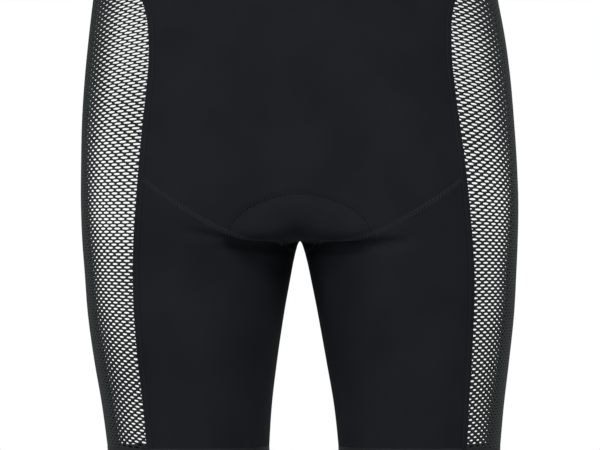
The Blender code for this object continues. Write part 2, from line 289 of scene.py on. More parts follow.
def joined(name, pieces, merge):
    """One piece of several, with the points that they share merged."""
    bpy.ops.object.select_all(action="DESELECT")
    for piece in pieces:
        piece.select_set(True)
    bpy.context.view_layer.objects.active = pieces[0]
    bpy.ops.object.join()
    whole = bpy.context.object
    whole.name = name
    whole.data.name = name
    edit(whole, (bpy.ops.mesh.remove_doubles, {"threshold": merge}))
    return whole


def thicken(piece, thickness):
    """Gives a sheet its thickness inwards from its outer face, and smooth shading."""
    bpy.ops.object.select_all(action="DESELECT")
    piece.select_set(True)
    bpy.context.view_layer.objects.active = piece
    wall = piece.modifiers.new("wall", "SOLIDIFY")
    wall.thickness = thickness
    wall.offset = -1.0
    bpy.ops.object.modifier_apply(modifier=wall.name)
    bpy.ops.object.shade_smooth_by_angle(angle=SHARP_EDGE)


def panel_place(side, share, z, behind):
    """Round the form by a share of the way from the middle to the net's seam."""
    if behind:
        return 2 - share * (2 - back_seam(side, z))
    return share * front_seam(side, z)


CREASE_ROWS = {}
CREASE_ROWS["front"] = (
    (-0.118, -0.176, -0.060, -0.228, 0.0070, 0.0007),
    (0.124, -0.170, 0.058, -0.226, 0.0080, 0.0006),
    (-0.090, -0.120, -0.020, -0.200, 0.0160, 0.0006),
    (0.096, -0.112, 0.030, -0.196, 0.0180, 0.0005),
    (-0.110, -0.060, 0.060, -0.080, 0.0140, 0.0005),
    (0.110, -0.046, -0.030, -0.062, 0.0120, 0.0004),
    (-0.066, -0.2310, 0.004, -0.2335, 0.0075, -0.0030),
    (-0.010, -0.2335, 0.072, -0.2300, 0.0075, -0.0030),
    (-0.102, -0.2300, -0.034, -0.2450, 0.0042, 0.0028),
    (-0.074, -0.2440, 0.006, -0.2440, 0.0042, 0.0042),
    (-0.006, -0.2425, 0.056, -0.2480, 0.0046, 0.0044),
    (0.016, -0.2485, 0.098, -0.2395, 0.0046, 0.0038),
    (-0.050, -0.2470, -0.012, -0.2680, 0.0080, 0.0022),
    (0.040, -0.2500, 0.015, -0.2660, 0.0060, 0.0014),
    (-0.100, -0.262, -0.030, -0.300, 0.0120, 0.0006),
    (0.104, -0.270, 0.034, -0.296, 0.0120, 0.0006),
    (-0.120, -0.360, -0.040, -0.345, 0.0120, 0.0004),
    (0.118, -0.350, 0.050, -0.366, 0.0120, 0.0004),
)
CREASE_FADE = 0.35
INSIDE_REACH = 0.14
INSIDE_DROP = 0.0080


def creases(side, s, z):
    """How far soft creases sink the cloth.  Each row runs from one place to another, as
    x and z, with a width and a depth, below 0 in a ridge.  None reaches the inside of a
    leg."""
    x = side * form(s, z)[..., 0]
    sunk = 0.0 * x
    for part, rows in CREASE_ROWS.items():
        here = (s > 1) == (part == "back")
        for x0, z0, x1, z1, width, depth in rows:
            length = math.hypot(x1 - x0, z1 - z0)
            along = ((x - x0) * (x1 - x0) + (z - z0) * (z1 - z0)) / length**2
            off = ((x - x0) * (z1 - z0) - (z - z0) * (x1 - x0)) / length
            fade = ramp(along / CREASE_FADE) * ramp((1 - along) / CREASE_FADE)
            sunk = sunk + here * depth * fade * np.exp(-((off / width) ** 2))
    inside = 1 - ramp(np.minimum(s, 2 - s) / INSIDE_REACH)
    return sunk * (1 - inside * ramp(0.5 + (CROTCH_Z - z) / INSIDE_DROP))


def arch_groove(s, z):
    """How far the pad's stitching draws the front in along its arch."""
    on_arch = (arch_share(form(s, z)[..., 0], z) - 1) / ARCH_GROOVE_WIDTH
    above = ramp((z - CROTCH_Z) / PAD_ONTO_BODY)
    return ARCH_GROOVE * np.exp(-(on_arch**2)) * above * (s < 1)


def on_cloth(side, s, z, raised=0.0):
    """Points on the cloth of body and legs, as it lies with its creases."""
    return on_form(side, s, z, raised - creases(side, s, z) - arch_groove(s, z))


def body_half(name, side, behind, columns):
    """Half of the front or the back as a sheet, from under the crotch to the band."""
    sheet, across, up = flat_grid(name, columns, BODY_ROWS)
    share = 1 - across if (side > 0) == behind else across
    low = slant_z(share)
    z = low + (BAND_SEAM_Z - low) * up**BODY_CROWDING
    s = panel_place(side, share, z, behind)
    move_points(sheet, on_cloth(side, s, z))
    return sheet


class Value:
    """A socket or a number in a shader, so that its maths reads as an expression."""

    def __init__(self, graph, socket):
        self.graph = graph
        self.socket = socket

    def maths(self, operation, *others):
        return self.graph.node("ShaderNodeMath", {"operation": operation}, self, *others)

    def __add__(self, other):
        return self.maths("ADD", other)

    def __radd__(self, other):
        return self.maths("ADD", other)

    def __mul__(self, other):
        return self.maths("MULTIPLY", other)

    def __rmul__(self, other):
        return self.maths("MULTIPLY", other)

    def sine(self):
        return self.maths("SINE")

    def above(self, edge, width):
        """0 below an edge and 1 above it, softened over a width."""
        settings = {"interpolation_type": "SMOOTHSTEP"}
        return self.graph.node("ShaderNodeMapRange", settings, self, edge - width / 2, edge + width / 2)


class Finish:
    """A material's nodes, round its Principled shader."""

    def __init__(self, name, roughness, specular=0.5):
        self.material = bpy.data.materials.new(name)
        self.material.use_nodes = True
        self.tree = self.material.node_tree
        self.shader = self.tree.nodes["Principled BSDF"]
        self.shader.inputs["Roughness"].default_value = roughness
        self.shader.inputs["Specular IOR Level"].default_value = specular
        self.places = self.node("ShaderNodeTexCoord", {}, output="Object")

    def node(self, kind, settings, *inputs, output=0, **named):
        """Adds a node: its settings first, then its sockets in order or by name."""
        node = self.tree.nodes.new(kind)
        for name, value in settings.items():
            setattr(node, name, value)
        for place, value in [*enumerate(inputs), *named.items()]:
            key = place.replace("_", " ") if isinstance(place, str) else place
            if isinstance(value, Value):
                self.tree.links.new(value.socket, node.inputs[key])
            else:
                node.inputs[key].default_value = value
        return Value(self, node.outputs[output])

    def feed(self, socket, value):
        self.tree.links.new(value.socket, self.shader.inputs[socket])

    def noise(self, size, detail=2.0):
        """Even noise between 0 and 1 with features of about a size in metres."""
        return self.node("ShaderNodeTexNoise", {}, self.places, Scale=1 / size, Detail=detail)

    def blend(self, mask, first, second):
        """A colour between two, by a mask."""
        colours = {"A": (*first, 1.0), "B": (*second, 1.0)}
        settings = {"data_type": "RGBA"}
        return self.node("ShaderNodeMix", settings, output="Result", Factor=mask, **colours)

    def mottle(self, first, second, size):
        """Gives the surface a colour that wanders between two."""
        self.feed("Base Color", self.blend(self.noise(size), first, second))

    def raise_by(self, height, distance):
        """Bumps the surface by a height from 0 to 1 times a distance in metres."""
        bump = self.node("ShaderNodeBump", {}, Height=height, Distance=distance)
        self.feed("Normal", bump)

    def put_on(self, piece):
        piece.data.materials.clear()
        piece.data.materials.append(self.material)


def dress(piece, finish, slot, *nodes):
    """A finish and the body for a piece, and the nodes that it stands for, which it hides. The slot is
    not used.
    """
    finish.put_on(piece)
    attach(piece, "root")
    if nodes:
        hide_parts(*nodes)


lycra = Finish("black_knit", roughness=0.85, specular=0.04)
shade = lycra.noise(size=0.045, detail=3.0).above(edge=0.5, width=0.5)
lycra.feed("Base Color", lycra.blend(shade, (0.0066, 0.0077, 0.0096), (0.0084, 0.0098, 0.0118)))
lycra.raise_by(
    lycra.noise(size=0.0009, detail=1.0) * 0.5 + lycra.noise(size=0.012, detail=2.0) * 0.5,
    distance=0.00010,
)

halves = [body_half("front_half", side, False, FRONT_COLUMNS) for side in (1, -1)]
front = joined("front_panel", halves, SAME_POINT)
thicken(front, CLOTH)
dress(front, lycra, "lycra", "front")

# The back: the same knit, cut like the front but fuller over the seat, and sewn to the
# nets, the legs and the front in the same way
BACK_COLUMNS = 52
CREASE_ROWS["back"] = (
    (-0.110, -0.182, -0.030, -0.222, 0.0080, 0.0009),
    (0.118, -0.178, 0.026, -0.220, 0.0090, 0.0008),
    (-0.060, -0.090, -0.004, -0.205, 0.0120, 0.0008),
    (0.070, -0.100, 0.006, -0.200, 0.0140, 0.0007),
    (-0.105, -0.050, 0.050, -0.066, 0.0130, 0.0006),
    (0.100, -0.040, -0.020, -0.086, 0.0150, 0.0005),
    (-0.060, -0.2290, 0.056, -0.2320, 0.0080, -0.0022),
    (-0.098, -0.2280, -0.016, -0.2460, 0.0060, 0.0026),
    (0.012, -0.2450, 0.104, -0.2270, 0.0065, 0.0024),
    (-0.108, -0.270, -0.040, -0.310, 0.0130, 0.0007),
    (0.112, -0.262, 0.036, -0.300, 0.0120, 0.0007),
)

halves = [body_half("back_half", side, True, BACK_COLUMNS) for side in (1, -1)]
back = joined("back_panel", halves, SAME_POINT)
thicken(back, CLOTH)
dress(back, lycra, "lycra", "back")

# The legs: each one piece of the same knit, wrapped round the thigh from the net's
# front seam, over the inside, to its back seam, with no seam on the inside
LEG_COLUMNS = 104
LEG_ROWS = 104
LEG_CROWDING = 1.5

for name, side in SIDES.items():
    leg, across, up = flat_grid(f"leg_panel_{name}", LEG_COLUMNS, LEG_ROWS)
    way = (2 * across - 1) * side
    share = np.abs(way)
    top = slant_z(share)
    z = top + (HEM_SEAM_Z - top) * (1 - up) ** LEG_CROWDING
    s = np.where(way > 0, panel_place(side, share, z, False), panel_place(side, share, z, True))
    move_points(leg, on_cloth(side, s, z))
    thicken(leg, CLOTH)
    dress(leg, lycra, "lycra", f"leg_{name}")

# The side nets: open warp-knit mesh of black polyester yarn, each in one piece from
# waistband to hem.  Its gaps are wide ovals in rows like bricks, pulled wider over the
# hip than at the hem, and narrow towards the side, where the net is stretched least
NET_COLUMNS = (
    "z", "pitch", "rise", "tilt_left", "tilt_right",
    "open_left", "open_right", "slip_left", "slip_right",
)
NET = (
    (-0.4380, 0.0081, 0.00475, -0.070, -0.100, 0.45, 0.72, 0.068, 0.064),
    (-0.3810, 0.0081, 0.00475, -0.065, -0.100, 0.47, 0.71, 0.067, 0.063),
    (-0.3390, 0.0082, 0.00478, -0.045, -0.085, 0.55, 0.68, 0.063, 0.060),
    (-0.2960, 0.0085, 0.00490, -0.015, -0.060, 0.60, 0.72, 0.064, 0.057),
    (-0.2540, 0.0092, 0.00506, 0.030, -0.005, 0.68, 0.80, 0.062, 0.058),
    (-0.2120, 0.0098, 0.00505, 0.090, 0.015, 0.78, 0.90, 0.058, 0.056),
    (-0.1700, 0.0103, 0.00490, 0.115, 0.060, 0.85, 1.00, 0.052, 0.046),
    (-0.1275, 0.0106, 0.00460, 0.130, 0.115, 0.84, 0.98, 0.042, 0.038),
    (-0.0850, 0.0106, 0.00441, 0.125, 0.155, 0.78, 0.93, 0.038, 0.036),
    (-0.0420, 0.0104, 0.00420, 0.155, 0.190, 0.68, 0.85, 0.042, 0.036),
    (0.0000, 0.0104, 0.00400, 0.170, 0.210, 0.64, 0.82, 0.044, 0.036),
)
NET_YARN = 0.0006
NET_WIDE = 13
NET_TALL = 190
GAP_WIDTH = 0.47
GAP_HEIGHT = 0.40
GAP_CORNERS = 10
SIDE_GAP = 0.38
SIDE_GAP_HEIGHT = 0.55
SIDE_ARC = 0.020
OPEN_ARC = 0.070
TANGENT_ARC = 0.0045
TANGENT_PLACE = 0.9894
LAST_PLACE = 1.9
HALVINGS = 34
CAMERA_AWAY = 6.0
CAMERA_Z = -0.2274
CELL_MIDDLE = 0.1
CELL_MERGE = 0.001
CELL_INSIDE = 0.499
ARC_HEIGHTS = 120
ARC_PLACES = 240
ABOVE_WAIST = 0.030
TILT_ROUNDS = 4

net_pitch = smooth(NET, NET_COLUMNS, "pitch")
net_rise = smooth(NET, NET_COLUMNS, "rise")
net_tilt = {side: smooth(NET, NET_COLUMNS, f"tilt_{name}") for name, side in SIDES.items()}
net_open = {side: smooth(NET, NET_COLUMNS, f"open_{name}") for name, side in SIDES.items()}
net_slip = {side: smooth(NET, NET_COLUMNS, f"slip_{name}") for name, side in SIDES.items()}


def net_cell():
    """One gap of the net in a flat cell of 1 by 1, shaped from a plane and a circle."""
    bpy.ops.object.select_all(action="DESELECT")
    bpy.ops.mesh.primitive_plane_add(size=1.0)
    cell = bpy.context.object
    bpy.ops.object.mode_set(mode="EDIT")
    bpy.ops.mesh.subdivide(number_cuts=1)
    bpy.ops.mesh.delete(type="ONLY_FACE")
    bpy.ops.mesh.select_mode(type="VERT")
    bpy.ops.object.mode_set(mode="OBJECT")
    for vertex in cell.data.vertices:
        vertex.select = vertex.co.length < CELL_MIDDLE
    bpy.ops.object.mode_set(mode="EDIT")
    bpy.ops.mesh.delete(type="VERT")
    bpy.ops.mesh.primitive_circle_add(vertices=GAP_CORNERS, radius=1.0, fill_type="NOTHING")
    bpy.ops.transform.resize(value=(GAP_WIDTH, GAP_HEIGHT, 1.0))
    bpy.ops.mesh.select_all(action="SELECT")
    bpy.ops.mesh.bridge_edge_loops()
    bpy.ops.mesh.normals_make_consistent(inside=False)
    bpy.ops.object.mode_set(mode="OBJECT")
    return cell


def repeat(piece, count, step):
    """Repeats a piece along a step, with the points that copies share merged."""
    rows = piece.modifiers.new("rows", "ARRAY")
    rows.count = count
    rows.use_relative_offset = False
    rows.use_constant_offset = True
    rows.constant_offset_displace = step
    rows.use_merge_vertices = True
    rows.merge_threshold = CELL_MERGE
    bpy.context.view_layer.objects.active = piece
    bpy.ops.object.modifier_apply(modifier=rows.name)


def arc_table():
    """Heights, places round the front and the arc from the side line to each place."""
    heights = np.linspace(HEM_Z, WAIST_Z, ARC_HEIGHTS)
    places = np.linspace(0.0, 1.0, ARC_PLACES)
    s, z = np.meshgrid(places, heights)
    points = form(s, z)
    steps = np.linalg.norm(np.diff(points, axis=1), axis=-1)
    arcs = np.concatenate((np.zeros((len(heights), 1)), np.cumsum(steps, axis=1)), axis=1)
    return heights, places, arcs[:, -1:] - arcs


NET_HEIGHTS, NET_PLACES, NET_ARCS = arc_table()


def front_place(arc, z):
    """The place round the front at an arc from the side line, at a height."""
    level = np.clip((z - HEM_Z) / (WAIST_Z - HEM_Z), 0.0, 1.0) * (len(NET_HEIGHTS) - 1)
    low = np.minimum(level.astype(int), len(NET_HEIGHTS) - 2)
    part = (level - low)[:, None]
    arcs = NET_ARCS[low] * (1 - part) + NET_ARCS[low + 1] * part
    after = np.clip(np.sum(arcs > arc[:, None], axis=1), 1, len(NET_PLACES) - 1)
    row = np.arange(len(arc))
    before_arc, after_arc = arcs[row, after - 1], arcs[row, after]
    share = np.clip((before_arc - arc) / np.maximum(before_arc - after_arc, SAME_PLACE), 0.0, 1.0)
    return NET_PLACES[after - 1] + share * (NET_PLACES[after] - NET_PLACES[after - 1])


def seen_from_front(points):
    """Where points stand in a level view from the front, scaled to the middle plane."""
    scale = CAMERA_AWAY / (CAMERA_AWAY + points[:, 1])
    return points[:, 0] * scale, (points[:, 2] - CAMERA_Z) * scale


def place_behind(side, x_seen, z_seen):
    """The place and height on the back of the side that a view from the front shows
    at the same spot as a point of the front, so that the net's gaps line up."""
    near = np.full(len(x_seen), TANGENT_PLACE)
    far = np.full(len(x_seen), LAST_PLACE)
    z = z_seen + CAMERA_Z
    for _ in range(HALVINGS):
        middle = (near + far) / 2
        here = on_form(side, middle, z)
        x_here, _ = seen_from_front(here)
        outside = side * (x_here - x_seen) > 0
        near = np.where(outside, middle, near)
        far = np.where(outside, far, middle)
        z = z_seen * (CAMERA_AWAY + here[:, 1]) / CAMERA_AWAY + CAMERA_Z
    return (near + far) / 2, z


def row_heights(count):
    """The heights of the net's rows at the side line, from above the waist down."""
    heights = [WAIST_Z + ABOVE_WAIST]
    for _ in range(count):
        heights.append(heights[-1] - float(net_rise(heights[-1])) / 2)
    return np.array(heights)


def narrow_gaps(column, row, side, heights):
    """Draws the points round each gap in towards its middle, by its place."""
    number = np.round(row)
    shift = 0.5 * np.mod(number, 2.0)
    off_row = row - number
    off_column = column - shift - np.round(column - shift)
    round_gap = np.maximum(np.abs(off_row), np.abs(off_column)) < CELL_INSIDE
    middle = column - off_column
    z = np.interp(number + 0.5, np.arange(len(heights)), heights)
    arc = np.abs(middle) * net_pitch(z)
    open_share = ramp((arc - SIDE_ARC) / (OPEN_ARC - SIDE_ARC)) * net_open[side](z)
    wide = SIDE_GAP + (1 - SIDE_GAP) * open_share
    tall = SIDE_GAP_HEIGHT + (1 - SIDE_GAP_HEIGHT) * open_share
    column = np.where(round_gap, middle + off_column * wide, column)
    row = np.where(round_gap, number + off_row * tall, row)
    return column, row


def net_sheet(name):
    """The whole net laid flat, a cell wide and high for each gap, and its points."""
    sheet = net_cell()
    repeat(sheet, 2 * NET_WIDE, (1.0, 0.0, 0.0))
    repeat(sheet, 2, (0.5, 1.0, 0.0))
    repeat(sheet, NET_TALL // 2, (0.0, 2.0, 0.0))
    sheet.name = name
    sheet.data.name = name
    flat = np.empty(3 * len(sheet.data.vertices))
    sheet.data.vertices.foreach_get("co", flat)
    return sheet, NET_WIDE - flat[0::3], flat[1::3]


def net_places(side, column, row):
    """Places and heights of the net's points.  The back half's gaps stand behind the
    front's, but slip by one row next to the side line."""
    heights = row_heights(NET_TALL + 2)
    column, row = narrow_gaps(column, row, side, heights)
    start = np.interp(row + 0.5, np.arange(len(heights)), heights)
    z = start
    for _ in range(TILT_ROUNDS):
        arc = TANGENT_ARC + np.abs(column) * net_pitch(z)
        s = front_place(arc, z)
        z = start + net_tilt[side](start) * (half_width(start) - form(s, z)[:, 0])
    x_seen, z_seen = seen_from_front(on_form(side, s, z))
    z_seen = z_seen + net_rise(start) * ramp(arc / net_slip[side](start))
    s_back, z_back = place_behind(side, x_seen, z_seen)
    behind = column > 0
    return np.where(behind, s_back, s), np.where(behind, z_back, z)


def cut_away(piece, outside):
    """Deletes the faces that lie wholly past one of the piece's edges."""
    all_faces = (bpy.ops.mesh.select_mode, {"type": "FACE"})
    edit(piece, all_faces, (bpy.ops.mesh.select_all, {"action": "DESELECT"}))
    for face in piece.data.polygons:
        face.select = bool(outside[list(face.vertices)].all(axis=0).any())
    bpy.ops.object.mode_set(mode="EDIT")
    bpy.ops.mesh.delete(type="FACE")
    bpy.ops.object.mode_set(mode="OBJECT")


def net_panel(name, side):
    net, column, row = net_sheet(name)
    s, z = net_places(side, column, row)
    first, last = front_seam(side, z), back_seam(side, z)
    outside = np.stack((s < first, s > last, z > BAND_SEAM_Z, z < HEM_SEAM_Z), axis=1)
    s = np.clip(s, first, last)
    z = np.clip(z, HEM_SEAM_Z, BAND_SEAM_Z)
    move_points(net, on_form(side, s, z))
    cut_away(net, outside)
    if side < 0:
        edit(net, (bpy.ops.mesh.flip_normals, {}))
    thicken(net, NET_YARN)
    return net


net_yarn = Finish("net_yarn", roughness=0.65, specular=0.12)
net_yarn.mottle((0.0070, 0.0105, 0.0105), (0.0110, 0.0160, 0.0155), size=0.006)
net_yarn.raise_by(net_yarn.noise(size=0.0006, detail=1.0), distance=0.00008)

for name, side in SIDES.items():
    net = net_panel(f"net_panel_{name}", side)
    dress(net, net_yarn, "net", f"net_{name}")

# The net's seams: the edges of knit and net are turned under a narrow strip of the
# same knit, laid on the knit's side and sewn down along both its edges
STRIP_ONTO_NET = 0.0008
STRIP_WIDTH = 0.0050
STRIP_RAISED = 0.0006
STRIP_COLUMNS = 8
STRIP_ROWS = 150
STRIP_WALL = 0.0004
STITCH_SIDES = 6
STITCH_RINGS = 4
THREAD = 0.00042
STITCH_LENGTH = 0.0021
STITCH_SPACING = 0.0027
STITCH_INSET = 0.0009
STITCH_UP_STRIP = 0.75
BESIDE_STEP = 0.002
SEAM_STOPS = 300

thread = Finish("black_thread", roughness=0.60, specular=0.10)
thread.mottle((0.0090, 0.0105, 0.0125), (0.0140, 0.0160, 0.0185), size=0.003)


def beside(s, z, distance):
    """The place round the form at a level distance along it from another."""
    step = np.linalg.norm(form(s + BESIDE_STEP, z) - form(s - BESIDE_STEP, z), axis=-1)
    return s + distance * 2 * BESIDE_STEP / step


def seam_strip(name, side, seam, inwards):
    """A strip of cloth over a seam, its edges down on the cloth, its middle raised."""
    strip, across, up = flat_grid(name, STRIP_COLUMNS, STRIP_ROWS)
    across = across if side > 0 else 1 - across
    z = HEM_SEAM_Z + (BAND_SEAM_Z - HEM_SEAM_Z) * up
    off = (across if inwards > 0 else 1 - across) * (STRIP_WIDTH + STRIP_ONTO_NET) - STRIP_ONTO_NET
    s = beside(seam(side, z), z, inwards * off)
    raised = STRIP_WALL / 2 + STRIP_RAISED * (1 - (2 * across - 1) ** 4)
    move_points(strip, on_form(side, s, z, raised))
    thicken(strip, STRIP_WALL)
    dress(strip, lycra, "lycra")


def one_stitch():
    """A stitch of unit length and thickness, as points and faces, shaped as a sphere
    drawn out along X."""
    bpy.ops.object.select_all(action="DESELECT")
    bpy.ops.mesh.primitive_uv_sphere_add(segments=STITCH_SIDES, ring_count=STITCH_RINGS, radius=0.5)
    ball = bpy.context.object
    lie_down = {"value": math.pi / 2, "orient_axis": "Y", "center_override": (0, 0, 0)}
    edit(ball, (bpy.ops.transform.rotate, lie_down))
    points = np.array([vertex.co for vertex in ball.data.vertices])
    faces = [list(face.vertices) for face in ball.data.polygons]
    bpy.data.objects.remove(ball, do_unlink=True)
    return points, faces


STITCH_POINTS, STITCH_FACES = one_stitch()


def sewing(name, rows, slot, finish, thickness=THREAD):
    """A piece of all the stitches in some rows.  A row is the middles of its stitches,
    where each points, and which way is up off the cloth."""
    points = []
    faces = []
    for middles, ways, ups in rows:
        across = np.cross(ups, ways)
        across = across / np.linalg.norm(across, axis=1, keepdims=True)
        for middle, way, up, beside_way in zip(middles, ways, ups, across):
            shape = STITCH_POINTS @ np.array((way, beside_way * thickness, up * thickness))
            faces += [[corner + len(points) for corner in face] for face in STITCH_FACES]
            points += list(shape + middle)
    mesh = bpy.data.meshes.new(name)
    mesh.from_pydata([tuple(map(float, point)) for point in points], [], faces)
    piece = bpy.data.objects.new(name, mesh)
    bpy.context.scene.collection.objects.link(piece)
    edit(piece, (bpy.ops.mesh.normals_make_consistent, {"inside": False}))
    mesh.shade_smooth()
    dress(piece, finish, slot)
    return piece


def stitch_row(side, s, z, spacing, length, raised, slant=0.0):
    """Stitches at even steps along a line on the form.  With a slant, every other one
    leans across the line to the other side, and they make a zigzag."""
    line = on_cloth(side, s, z, raised)
    run = np.concatenate(([0.0], np.cumsum(np.linalg.norm(np.diff(line, axis=0), axis=1))))
    count = max(2, int(run[-1] / spacing))
    stops = (np.arange(count) + 0.5) * run[-1] / count
    middles = np.stack([np.interp(stops, run, line[:, i]) for i in range(3)], axis=1)
    ahead = np.stack([np.interp(stops + length / 2, run, line[:, i]) for i in range(3)], axis=1)
    behind = np.stack([np.interp(stops - length / 2, run, line[:, i]) for i in range(3)], axis=1)
    ways = ahead - behind
    ways = ways / np.linalg.norm(ways, axis=1, keepdims=True)
    half_ups = outward(np.interp(stops, run, s), np.interp(stops, run, z))
    ups = half_ups * (side, 1.0, 1.0)
    ups = ups - np.sum(ups * ways, axis=1, keepdims=True) * ways
    ups = ups / np.linalg.norm(ups, axis=1, keepdims=True)
    turn = slant * np.where(np.arange(count) % 2 == 0, 1.0, -1.0)[:, None]
    ways = ways * np.cos(turn) + np.cross(ups, ways) * np.sin(turn)
    return middles, ways * length, ups


seam_z = np.linspace(HEM_SEAM_Z, BAND_SEAM_Z, SEAM_STOPS)
for name, side in SIDES.items():
    for part, seam, inwards in (("front", front_seam, -1), ("back", back_seam, 1)):
        seam_strip(f"seam_strip_{name}_{part}", side, seam, inwards)
        rows = []
        for off in (STITCH_INSET - STRIP_ONTO_NET, STRIP_WIDTH - STITCH_INSET):
            s = beside(seam(side, seam_z), seam_z, inwards * off)
            raised = STRIP_WALL / 2 + STRIP_RAISED * STITCH_UP_STRIP
            rows.append(stitch_row(side, s, seam_z, STITCH_SPACING, STITCH_LENGTH, raised))
        sewing(f"strip_stitches_{name}_{part}", rows, "lycra", thread)

# The slanting seams: body and leg butt edge to edge and are joined by a flatlock, a
# zigzag of thread between two straight rows, which shows a little lighter
FLATLOCK_WIDTH = 0.0036
FLATLOCK_STEP = 0.0014
FLATLOCK_RAISED = 0.00020
FLATLOCK_LEAN = math.radians(62)
FLATLOCK_START = 0.05
FLATLOCK_STOPS = 400

grey_thread = Finish("grey_thread", roughness=0.60, specular=0.15)
grey_thread.mottle((0.0140, 0.0170, 0.0190), (0.0240, 0.0275, 0.0300), size=0.002)

shares_out = np.linspace(FLATLOCK_START, 1.0, FLATLOCK_STOPS)
for name, side in SIDES.items():
    for part, behind in (("front", False), ("back", True)):
        rows = []
        for off in (-0.5, 0.5):
            z = slant_z(shares_out) + off * FLATLOCK_WIDTH
            s = panel_place(side, shares_out, z, behind)
            rows.append(stitch_row(side, s, z, STITCH_SPACING, STITCH_LENGTH, FLATLOCK_RAISED))
        z = slant_z(shares_out)
        s = panel_place(side, shares_out, z, behind)
        length = FLATLOCK_WIDTH / math.sin(FLATLOCK_LEAN)
        rows.append(stitch_row(side, s, z, FLATLOCK_STEP, length, FLATLOCK_RAISED, FLATLOCK_LEAN))
        sewing(f"flatlock_{name}_{part}", rows, "lycra", grey_thread)

# The seat pad: dark grey brushed fleece over foam, moulded with channels, sewn inside
# the crotch.  Its front edge is stitched through the front in an arch that shows outside
PAD_SHARE = 0.58
PAD_BACK_TOP_Z = -0.1850
PAD_DEPTH = 0.0014
PAD_EDGE_DEPTH = 0.0022
PAD_MIDDLE = 0.0046
PAD_EDGE = 0.0016
PAD_CORNER = 0.0040
PAD_COLUMNS = 44
PAD_ROWS = 36
CHANNELS = (0.000, 0.021, 0.039)
CHANNEL_WIDTH = 0.0028
CHANNEL_DEPTH = 0.45
CHANNEL_ABOVE_CROTCH = 0.006
PAD_ROUNDED = 0.008
PAD_SAME_POINT = 3e-5
ARCH_STITCH_SPACING = 0.0032
ARCH_STITCH_LENGTH = 0.0017
ARCH_THREAD = 0.0009
ARCH_STITCH_RAISED = 0.0001
ARCH_START = 0.04
ARCH_STOPS = 200

fleece = Finish("grey_fleece", roughness=0.95, specular=0.10)
fleece.mottle((0.040, 0.042, 0.046), (0.062, 0.064, 0.070), size=0.004)
fleece.raise_by(fleece.noise(size=0.0012, detail=3.0), distance=0.0004)

dark_thread = Finish("dark_thread", roughness=0.70, specular=0.03)
dark_thread.mottle((0.0016, 0.0018, 0.0020), (0.0024, 0.0026, 0.0030), size=0.002)


def pad_quarter(name, side, behind):
    """A quarter of the pad's outer skin, with its fullness as a vertex group."""
    sheet, across, up = flat_grid(name, PAD_COLUMNS, PAD_ROWS)
    out = 1 - across if (side > 0) == behind else across
    share = out * PAD_SHARE
    foot = slant_z(share)
    peak = PAD_BACK_TOP_Z if behind else PAD_TOP_Z
    lift = np.sqrt(np.clip(1 - out**2, 0.0, None))
    top = foot + PAD_CORNER + (peak - foot - PAD_CORNER) * lift
    z = foot + (top - foot) * up
    s = panel_place(side, share, z, behind)
    from_edge = np.minimum(z - foot, top - z) / PAD_ROUNDED
    fill = np.sin(math.pi / 2 * np.clip(from_edge, 0.0, 1.0)) * (1 - out**4)
    x = form(s, z)[:, 0]
    for place in CHANNELS:
        channel = np.exp(-(((x - place) / CHANNEL_WIDTH) ** 2)) * (z > CROTCH_Z + CHANNEL_ABOVE_CROTCH)
        fill = fill * (1 - CHANNEL_DEPTH * channel)
    depth = PAD_EDGE_DEPTH + (PAD_DEPTH - PAD_EDGE_DEPTH) * fill
    move_points(sheet, on_cloth(side, s, z, -depth))
    fullness = sheet.vertex_groups.new(name="fullness")
    for number, share_full in enumerate(PAD_EDGE / PAD_MIDDLE + (1 - PAD_EDGE / PAD_MIDDLE) * fill):
        fullness.add([number], float(share_full), "REPLACE")
    return sheet


quarters = [pad_quarter("pad_quarter", side, behind) for side in (1, -1) for behind in (False, True)]
pad = joined("fleece_pad", quarters, PAD_SAME_POINT)
wall = pad.modifiers.new("foam", "SOLIDIFY")
wall.thickness = PAD_MIDDLE
wall.offset = -1.0
wall.vertex_group = "fullness"
bpy.context.view_layer.objects.active = pad
bpy.ops.object.modifier_apply(modifier=wall.name)
pad.data.shade_smooth()
dress(pad, fleece, "pad", "seat_pad")

rows = []
for side in (1, -1):
    angle = np.linspace(ARCH_START, math.pi / 2, ARCH_STOPS)
    x = PAD_HALF_WIDTH * np.cos(angle) ** (2 / PAD_ARCH_POWER)
    z = PAD_FOOT_Z + (PAD_TOP_Z - PAD_FOOT_Z) * np.sin(angle) ** (2 / PAD_ARCH_POWER)
    s = seam_place(x, z)
    rows.append(stitch_row(side, s, z, ARCH_STITCH_SPACING, ARCH_STITCH_LENGTH, ARCH_STITCH_RAISED))
sewing("pad_arch_stitches", rows, "lycra", dark_thread, ARCH_THREAD)

# The waistband: wide flat elastic, ribbed along its length, laid over the cloth's upper
# edge as a ring and stitched down in two rows
BAND_WALL = 0.0018
BAND_COLUMNS = 160
BAND_ROWS = 26
RIB_PITCH = 0.0020
RIB_RAISED = 0.00018
ROWS_FROM_EDGE = (0.0030, 0.0056)
ROW_RAISED = 0.0005
ROW_STOPS = 500
ROW_START = 0.002

elastic = Finish("black_elastic", roughness=0.70, specular=0.12)
height = elastic.node("ShaderNodeSeparateXYZ", {}, elastic.places, output=2)
ribs_and_groove_shade = (height * (2 * math.pi / RIB_PITCH)).sine() * 0.5 + 0.5
# The rib wave also paints the base colour: darker in the grooves, a painted shade, and lighter on the
# crests, a painted highlight
elastic.feed("Base Color", elastic.blend(ribs_and_groove_shade, (0.0060, 0.0068, 0.0080), (0.0105, 0.0118, 0.0135)))
elastic.raise_by(ribs_and_groove_shade * 0.7 + elastic.noise(size=0.0008, detail=1.0) * 0.3, distance=0.00015)


